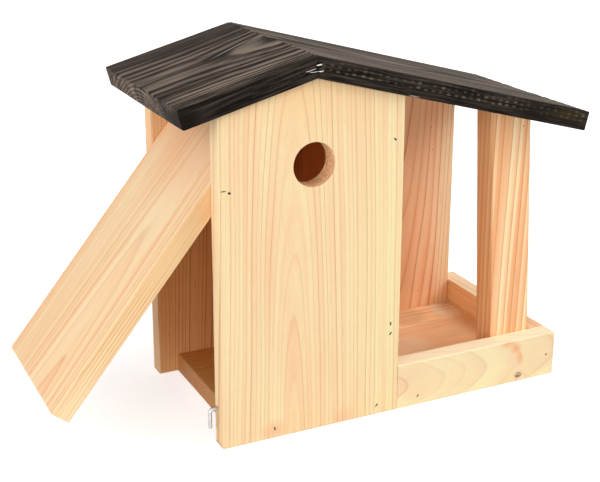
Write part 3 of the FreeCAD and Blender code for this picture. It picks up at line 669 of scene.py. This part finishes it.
front_rail_pine = pine(
    "front_rail", (-45.0, -75.0, 15.0), (0.91, -0.41, 0.06), 9.5, "#f0e1b1", "#edc9a0", "#cb956b", 8.0, contrast=0.4,
    early=0.4, blush=0.7, bend=5.0, faint=0.25, oval=1.7, ducts=0.08, stains_and_painted_light=[
        ((98.0, FRONT, 35.0), (9.0, 9.0, 6.0), "#f0a070", 0.65),
        ((106.0, FRONT, 29.0), (7.5, 9.0, 7.0), "#f0a070", 0.75),
        ((110.0, FRONT, 21.0), (5.0, 9.0, 7.0), "#f0a070", 0.55),
        ((17.0, FRONT, 9.0), (18.0, 9.0, 9.0), "#f0c298", 0.5),
        # Painted light: the top face is paler
        face_tint((70.0, -WALL_MIDDLE, RAIL_TOP), UP, "#ffecca", 0.85),
    ], knot=(109.5, FRONT, 5.5, 2.7))
side_rail_pine = pine(
    "side_rail", (190.0, 0.0, -30.0), (0.02, 1.0, 0.03), 4.5, "#fed092", "#fcbc7c", "#b87038", 9.0, stains_and_painted_light=[
        # Painted light: the inner face and the top are paler
        face_tint((TRAY_END, 0.0, 20.0), WEST, "#ffe2b4", 0.6),
        face_tint((RAIL_MIDDLE, 0.0, RAIL_TOP), UP, "#ffe6c2", 0.8),
        ((RAIL_MIDDLE, -52.0, RAIL_TOP), (22.0, 50.0, 5.0), "#eebe90", 0.8, 0.3),
    ])
post_pine = pine(
    "post", (30.0, 20.0, 0.0), (0.03, 0.0, 1.0), 4.4, "#f8dcac", "#efac78", "#b07042", 10.0, early=0.15, blush=0.9,
    bend=2.6, uneven=0.5, faint=0.7, stains_and_painted_light=[
        # Painted shade: the left face is darker
        face_tint((87.5, -50.0, 133.0), WEST, "#b4703a", 0.5, (0.0, POST_TILT, 0.0)),
        ((112.0, POST_FRONT, 206.0), (1.0, 2.0, 0.8), "#6a4630", 0.7, 0.3),
        ((128.0, POST_FRONT, 36.5), (1.4, 2.0, 1.2), "#4a3222", 0.7, 0.3),
    ])


def upright_box(node):
    """Corners of a CAD box's front view, and its nearest and furthest y."""
    low, high = node_box(node)
    return [(low[0], low[2]), (high[0], low[2]), (high[0], high[2]), (low[0], high[2])], low[1], high[1]


def up_to_roof(left, right, foot, lean=0.0):
    """Corners of the front view of a wall or post that reaches the roof, its top moved to the left by lean."""
    top = [(x - lean, under_roof(x - lean)) for x in (right, left)]
    return [(left, foot), (right, foot), *top]


gable = [(NEST_LEFT, 0), (NEST_RIGHT, 0), (NEST_RIGHT, under_roof(NEST_RIGHT)), (RIDGE_X, RIDGE_Z),
         (NEST_LEFT, under_roof(NEST_LEFT))]
feeder_wall = up_to_roof(NEST_RIGHT, TRAY_END, 0)
wall_low, wall_high = node_box("partition_wall")
divider = up_to_roof(wall_low[0], wall_high[0], wall_low[2])
post = up_to_roof(POST_LEFT, TRAY_END, BOARD, POST_LEAN)
door = [(end + half * outer)[::2] for end, half in (
    (door_foot, BOARD / 2), (door_foot, -BOARD / 2), (door_head, -BOARD / 2), (door_head, BOARD / 2))]
for name, skin, material, body, node in (
    ("front_panel_pine", holed_skin(gable, (RIDGE_X, ENTRANCE_Z), ENTRANCE_RADIUS, FRONT, 11, torn=0.5),
     panel_pine, "box", "front_panel"),
    ("nest_back_pine", holed_skin(gable, (RIDGE_X, SCREW_Z), SCREW_RADIUS, INNER_BACK, 12),
     nest_back_pine, "box", "nest_back_board"),
    ("feeder_back_pine", holed_skin(feeder_wall, (TRAY_MIDDLE, SCREW_Z), SCREW_RADIUS, INNER_BACK, 13),
     feeder_back_pine, "box", "feeder_back_board"),
    *[(name, board_skin(*upright_box(node), ARRIS, (8, 8, 4), axis, seed), material, "box", node)
      for name, material, node, axis, seed in (
          ("floor_front_pine", floor_front_pine, "floor_board_front", 0, 21),
          ("floor_rear_pine", floor_rear_pine, "floor_board_rear", 0, 22),
          ("front_rail_pine", front_rail_pine, "tray_front_rail", 0, 23),
          ("side_rail_pine", side_rail_pine, "tray_side_rail", 1, 24))],
    ("divider_pine", board_skin(divider, wall_low[1], wall_high[1], ARRIS, (4, 8, 8), 2, 25),
     divider_pine, "box", "partition_wall"),
    ("post_pine", board_skin(post, POST_FRONT, POST_BACK, ARRIS, (6, 5, 6), 2, 26), post_pine, "box", "corner_post"),
    ("door_pine", board_skin(door, -DOOR_HALF, DOOR_HALF, ARRIS, (4, 6, 8), 2, 27), door_pine, "door", "side_door"),
):
    add_piece(name, skin, material, body, [node], PINE_MARKS)

# Dark roof boards, mitred at the ridge and cut square at the eaves
ridge_bottom, ridge_top = (RIDGE_X, RIDGE_Z), (RIDGE_X, RIDGE_Z + BOARD / math.cos(PITCH))
short_corners = [(LEFT_EAVE, under_roof(LEFT_EAVE)), ridge_bottom, ridge_top, on_roof(LEFT_EAVE, -1)]
long_corners = [ridge_bottom, (RIGHT_EAVE, under_roof(RIGHT_EAVE)), on_roof(RIGHT_EAVE, 1), ridge_top]


def short_pith(s):
    """Depth of the pith under the short board's top, from the eave at s = 0: it comes up a little towards the ridge."""
    return 80.0 - 0.072 * np.clip(s - 47.0, 0, 60.0)


def long_pith(s):
    """Depth of the pith under the long board's top, from the ridge at s = 0: it sinks along the board."""
    return 58.0 + 0.045 * s


short_skin = board_skin(short_corners, ROOF_FRONT, BACK, ROOF_ARRIS, (0.9, 0.6, 1.0), 0, 31,
                        roof_grain(-2.5, short_pith, 3.0, 22.0, 0.9, True, 41))
long_skin = board_skin(long_corners, ROOF_FRONT, BACK, ROOF_ARRIS, (1.7, 0.6, 1.0), 0, 32,
                       roof_grain(9.0, long_pith, 4.6, 20.7, 1.15, False, 42))

# Where the stain is worn or lies thick, and one painted highlight on the short board: mm from the ridge along the
# slope, to the back, and up from the underside
short_wear_and_highlight = [((-76.0, -9.0, BOARD), (32.0, 4.5, 4.0), "#8d8075", 0.5),
              ((-78.0, -28.0, BOARD), (30.0, 3.5, 4.0), "#8d8075", 0.4),
              # A pale line along a raised ring: rubbed stain and a painted highlight
              ((-24.5, 5.5, BOARD), (27.0, 0.9, 4.0), "#b9b1a8", 0.75, 0.4, (0.0, 0.0, 0.361)),
              ((-6.0, -5.0, BOARD), (9.0, 8.0, 4.0), "#9c948c", 0.15),
              ((-50.0, 62.0, BOARD), (90.0, 42.0, 4.0), "#2c231e", 0.5, 0.3),
              ((-20.0, -15.0, BOARD), (12.0, 4.5, 4.0), "#938a82", 0.5),
              ((-100.0, -78.0, 5.0), (22.0, 45.0, 14.0), "#15110e", 0.9, 0.3)]
long_wear = [((77.5, ROOF_FRONT, 0.8), (6.0, 2.0, 0.5), "#cbbfae", 0.7, 0.3),
             ((185.0, ROOF_FRONT, 8.0), (34.0, 2.5, 8.0), "#1c1814", 0.65, 0.4),
             ((214.0, ROOF_FRONT, 9.0), (28.0, 2.5, 6.0), "#392f1b", 0.7),
             ((130.0, 0.0, BOARD), (160.0, 90.0, 4.0), "#463e37", 0.45, 0.6)]
short_stained = stained_pine("stained_pine_short_roof", -PITCH, 3.0, 3.2, 0.12, short_wear_and_highlight)
long_stained = stained_pine("stained_pine_long_roof", PITCH, 8.0, 6.5, 0.85, long_wear)
add_piece("short_roof_stained", short_skin, short_stained, "box", ["short_roof_board"], ROOF_MARKS)
add_piece("long_roof_stained", long_skin, long_stained, "box", ["long_roof_board"], ROOF_MARKS)

# Thick black paint at the front of the ridge joint, and pale strands on it that are painted glints
left_down = np.array([-math.cos(PITCH), 0.0, -math.sin(PITCH)])
left_up = np.array([-math.sin(PITCH), 0.0, math.cos(PITCH)])
ridge_front = np.array([RIDGE_X, ROOF_FRONT, RIDGE_Z])
share = np.linspace(0, 1, 15)
taper = np.sqrt(np.maximum(0, 1 - (2 * share - 1) ** 2))
paint_black = paint_and_glint("thick_black_paint", "#040303", "#0e0b09", 0.6, 0.05, 1.5)
glint_strand = paint_and_glint("pale_painted_glint", "#cfc8bd", "#f4f0ea", 0.5, 0.5, 0.8)

# Each strand: where it starts down the left slope and above the underside, its length up the slope, its rise and
# its half width. It bulges forward as half a sine wave does, and narrows to both ends as an ellipse does
for kind, material, strands in (
    ("paint", paint_black, [(-1.4, 10.5, 4.4, -0.6, 0.6), (-0.6, 8.3, 4.4, -0.6, 0.5), (4.5, 6.9, 4.7, -0.7, 0.5),
                            (9.2, 6.7, 3.6, -1.0, 0.4)]),
    # The pale strands are painted glints on the glossy paint
    ("fibre", glint_strand, [(-0.8, 9.3, 4.4, -0.6, 0.55), (-0.9, 4.9, 4.3, -1.1, 0.36), (5.1, 6.4, 6.1, -1.4, 0.22),
                           (8.2, 7.7, 8.6, -0.3, 0.2)]),
):
    grids = []
    for start, height, length, rise, half in strands:
        path = ridge_front + np.outer(start - length * share, left_down) + np.outer(height + rise * share, left_up)
        path[:, 1] -= 0.2 + 0.6 * np.sin(np.pi * share)
        grids.append(sweep(path, half * taper, 0.8 * half * taper, NORTH, 10))
    add_piece("ridge_" + kind + "_strands", stitch(grids, closed_v=True), material, "box", [])

# Nails: small oval heads, driven level with the wood or a hair proud. A place ends with the turn of its head
nail_steel = steel("dull_wire_nail_steel", "#2a2320", "#574c45", 0.5, 0.6)
zinc = steel("zinc_plated_wire", "#a9abad", "#d8dadc", 0.3, 0.8)
nest_nails = [(DIVIDER_X, 213.0, 0.8), (DIVIDER_X, 72.0, 1.5), (DIVIDER_X, 64.0, 2.3), (-103.5, FLOOR_MIDDLE, 1.5),
              (-19.5, FLOOR_MIDDLE, 2.2)]
for name, node, places, inward, along in (
    ("front_panel_nail_heads", "front_panel_nails", [(x, FRONT, z, turn) for x, z, turn in nest_nails], NORTH, EAST),
    ("nest_back_nail_heads", "nest_back_nails", [(x, BACK, z, turn) for x, z, turn in nest_nails], SOUTH, EAST),
    ("feeder_back_nail_heads", "feeder_back_nails",
     [(16.5, BACK, FLOOR_MIDDLE, 0.4), (88.5, BACK, FLOOR_MIDDLE, 1.9)], SOUTH, EAST),
    ("front_rail_nail_heads", "front_rail_nails",
     [(16.5, FRONT, FLOOR_MIDDLE, 2.4), (RAIL_MIDDLE, FRONT, 18.0, 2.6)], NORTH, EAST),
    ("side_rail_nail_heads", "side_rail_nails",
     [(RAIL_END, -20.0, FLOOR_MIDDLE, 0.3), (RAIL_END, 42.0, FLOOR_MIDDLE, 1.2), (RAIL_END, -50.0, 26.0, 0.9),
      (RAIL_END, WALL_MIDDLE, 26.0, 2.0)], WEST, NORTH),
):
    proud = 0.0 if inward == SOUTH else 0.15
    head = (1.3, 0.65) if node == "front_rail_nails" else (1.7, 0.7)
    skin = nail_skin(places, inward, along, *head, NAIL_LENGTH, proud)
    add_piece(name, skin, nail_steel, "box", [node])

near_ridge = 22.0
over_divider = DIVIDER_X + 10.0 * math.sin(PITCH)
for name, node, side, spots in (
    ("short_roof_nail_heads", "short_roof_nails", -1,
     [(x, y) for y in (-WALL_MIDDLE, WALL_MIDDLE) for x in (RIDGE_X - near_ridge, -121.5)]),
    ("long_roof_nail_heads", "long_roof_nails", 1,
     [(RIDGE_X + near_ridge, -WALL_MIDDLE), (RIDGE_X + near_ridge, WALL_MIDDLE), (over_divider, 0.0),
      (20.5, WALL_MIDDLE), (106.5, WALL_MIDDLE), (100.5, -50.0)]),
):
    places = []
    for k, (x, y) in enumerate(spots):
        roof_x, roof_z = on_roof(x, side)
        places.append((roof_x, y, roof_z, 0.7 * k))
    inward = (-side * math.sin(PITCH), 0.0, -math.cos(PITCH))
    skin = nail_skin(places, inward, NORTH, 1.2, 0.75, NAIL_LENGTH, -0.45)
    add_piece(name, skin, nail_steel, "box", [node])

for name, node, y, inward, proud in (
    ("pivot_nail_front_head", "door_pivot_nail_front", FRONT, NORTH, 0.2),
    ("pivot_nail_rear_head", "door_pivot_nail_rear", BACK, SOUTH, 0.0),
):
    skin = nail_skin([(HINGE_X, y, HINGE_Z, 0.2)], inward, EAST, 1.3, 0.9, PIVOT_LENGTH, proud)
    add_piece(name, skin, nail_steel, "box", [node])

# Latch: a wire hook, made of a straight shank, a quarter circle and a straight leg
quarter = np.linspace(0, np.pi / 2, 15)
shank_x = np.linspace(HOOK_TIP_X, HOOK_ELBOW_X + 0.1, 90)
elbow_x = HOOK_ELBOW_X - HOOK_BEND * np.sin(quarter)
elbow_z = HOOK_Z - HOOK_BEND * (1 - np.cos(quarter))
leg_z = np.concatenate([np.linspace(HOOK_Z - HOOK_BEND - 0.5, HOOK_FOOT_Z + 1.1, 12),
                        HOOK_FOOT_Z + np.array([0.7, 0.35, 0.1, 0.0])])
hook_x = np.concatenate([shank_x, elbow_x, 0 * leg_z + HOOK_ELBOW_X - HOOK_BEND])
hook_z = np.concatenate([0 * shank_x + HOOK_Z, elbow_z, leg_z])
hook_path = np.stack([hook_x, 0 * hook_x + HOOK_Y, hook_z], -1)

# The tip and the foot are rounded off. The thread, where the shank enters the panel's edge, is a groove up to
# 0.25 mm deep: a triangle wave of the distance along over the pitch, plus the share of a turn round the wire
wire = np.full(len(hook_path), HOOK_WIRE / 2)
wire[:4] = [0, 0.5, 0.9, 1.2]
wire[-4:] = [1.42, 1.2, 0.8, 0]
round_wire = np.linspace(0, 1, 24, endpoint=False)
thread = np.abs(np.mod(hook_x[:, None] / HOOK_THREAD + round_wire, 1.0) - 0.5) * 0.5
threaded = ramp(-hook_x, 144.5, 143.0) * (wire > 1.4)
coil = wire[:, None] - threaded[:, None] * thread
add_piece("latch_hook_wire", stitch([sweep(hook_path, coil.T, coil.T, NORTH, 24)], closed_v=True),
          zinc, "hook", ["latch_hook"])

# Camera at the photograph's viewing angle, with its focal length and shift in pixels of that frame
photo_width, focal_pixels, shift_pixels, sensor = 600, 1200.7, -50.0, 36.0
eye = Vector((-425.62, -783.30, 429.42)) * MM
yaw, dip, roll = (math.radians(angle) for angle in (25.7726, 17.2806, 0.0906))
ahead = Vector((math.sin(yaw) * math.cos(dip), math.cos(yaw) * math.cos(dip), -math.sin(dip)))
level = Vector((math.cos(yaw), -math.sin(yaw), 0.0))
upright = level.cross(ahead)
right = level * math.cos(roll) + upright * math.sin(roll)
above = upright * math.cos(roll) - level * math.sin(roll)
camera_data = bpy.data.cameras.new("camera")
camera_data.sensor_fit = "HORIZONTAL"
camera_data.sensor_width = sensor
camera_data.lens = focal_pixels / photo_width * sensor
camera_data.shift_y = shift_pixels / photo_width
camera = put("camera", camera_data)
camera.matrix_world = Matrix.Translation(eye) @ Matrix((right, above, -ahead)).transposed().to_4x4()
bpy.context.scene.camera = camera

# White studio: a plain floor, an even sky and three large soft lamps
floor_size = 8.0
floor_mesh = bpy.data.meshes.new("studio_floor")
floor_mesh.from_pydata([(x * floor_size, y * floor_size, 0.0) for x, y in ((-1, -1), (1, -1), (1, 1), (-1, 1))],
                       [], [(0, 1, 2, 3)])
floor = put("studio_floor", floor_mesh)

# Matt white paper: an even white with the object's soft shadow, which fades out over 150 to 500 mm
paper, paper_tree, on_paper = new_material("matt_white_paper")
away = add(paper_tree, "VectorMath", {0: on_paper}, "Value", operation="LENGTH")
glow = add(paper_tree, "MapRange", {0: away, 1: 150.0, 2: 500.0, 3: 0.63, 4: 0.75}, **SMOOTH)
lift = add(paper_tree, "Math", {0: seen_directly(paper_tree), 1: glow}, operation="MULTIPLY")
paper_shader = add(paper_tree, "BsdfPrincipled", {
    "Base Color": linear("#e6e6e6"), "Roughness": 0.9, "Specular IOR Level": 0.0,
    "Emission Color": linear("#ffffff"), "Emission Strength": lift,
})
add(paper_tree, "OutputMaterial", {"Surface": paper_shader})
floor_mesh.materials.append(paper)

# An even sky, white where it is seen
sky_level = 0.34
world = bpy.data.worlds.new("studio_sky")
bpy.context.scene.world = world
world.use_nodes = True
sky_tree = world.node_tree
sky_tree.nodes.clear()
strength = add(sky_tree, "MapRange", {0: seen_directly(sky_tree), 3: sky_level, 4: 1.0})
sky = add(sky_tree, "Background", {"Color": linear("#ffffff"), "Strength": strength})
add(sky_tree, "OutputWorld", {"Surface": sky})

lamp_size = 2.0
lamps_aim = Vector((-0.05, 0.0, 0.12))
for name, stand, watts in (
    ("left_lamp", (-2.3, -0.9, 0.7), 36.5),
    ("front_lamp", (-1.4, -1.9, 1.1), 17.0),
    ("right_lamp", (2.1, -1.0, 1.9), 64.0),
):
    lamp_data = bpy.data.lights.new(name, "AREA")
    lamp_data.size = lamp_size
    lamp_data.energy = watts
    lamp = put(name, lamp_data)
    lamp.location = stand
    lamp.rotation_euler = (lamps_aim - Vector(stand)).to_track_quat("-Z", "Y").to_euler()

bpy.context.scene.view_settings.view_transform = "Standard"
